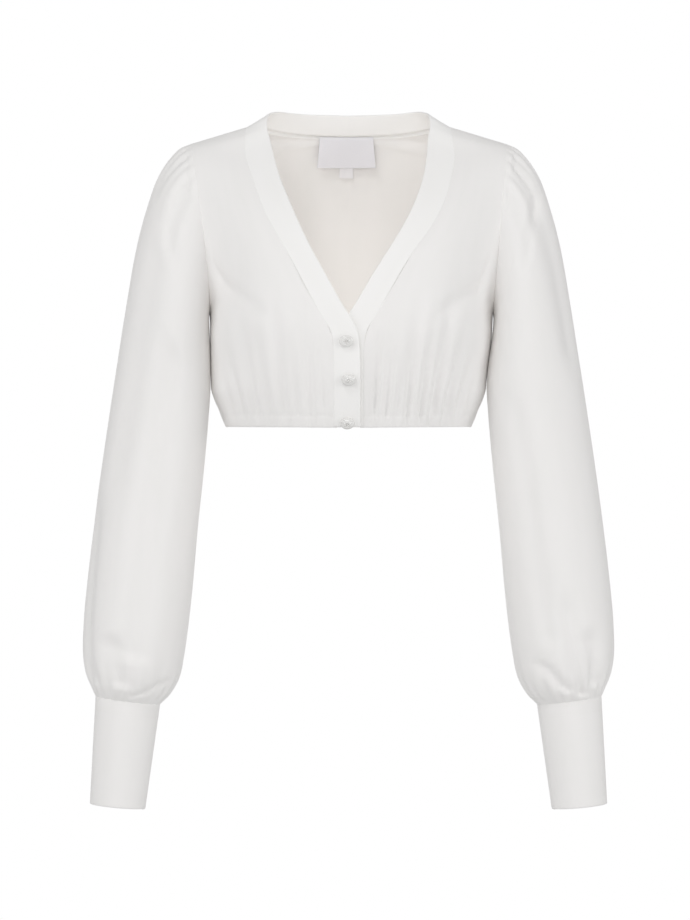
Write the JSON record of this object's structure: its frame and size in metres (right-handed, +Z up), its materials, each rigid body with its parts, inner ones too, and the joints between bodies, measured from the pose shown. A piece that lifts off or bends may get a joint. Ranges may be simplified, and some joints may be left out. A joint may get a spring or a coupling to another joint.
{
  "type": "dirndl blouse",
  "caption": "Cropped V-neck blouse with long bishop sleeves and deep cuffs, hollow as worn, buttoned at the front and gathered at the hem.",
  "frame": {"origin": "midway between the two places where the neck band crosses the shoulder seams, where the wearer's shoulders hold the blouse up", "axes": "+Z up, -Y towards the front, +X towards the wearer's left"},
  "size_m": [0.5308, 0.2147, 0.6978],
  "materials": {
    "blouse_cloth": "off-white crepe, fine matte weave with a soft sheen",
    "pearl_button": "pearlescent, glossy, with an embossed face",
    "label_cloth": "woven satin label, cool grey-white, bare"
  },
  "bodies": {
    "root": {"back_panel": "blouse_cloth", "front_right": "blouse_cloth", "front_left": "blouse_cloth", "band_back": "blouse_cloth", "band_right": "blouse_cloth", "band_left": "blouse_cloth", "sleeve_right": "blouse_cloth", "sleeve_left": "blouse_cloth", "cuff_right": "blouse_cloth", "cuff_left": "blouse_cloth", "button_1": "pearl_button", "button_2": "pearl_button", "button_3": "pearl_button", "neck_label": "label_cloth", "size_tab": "label_cloth"}
  },
  "joints": []
}
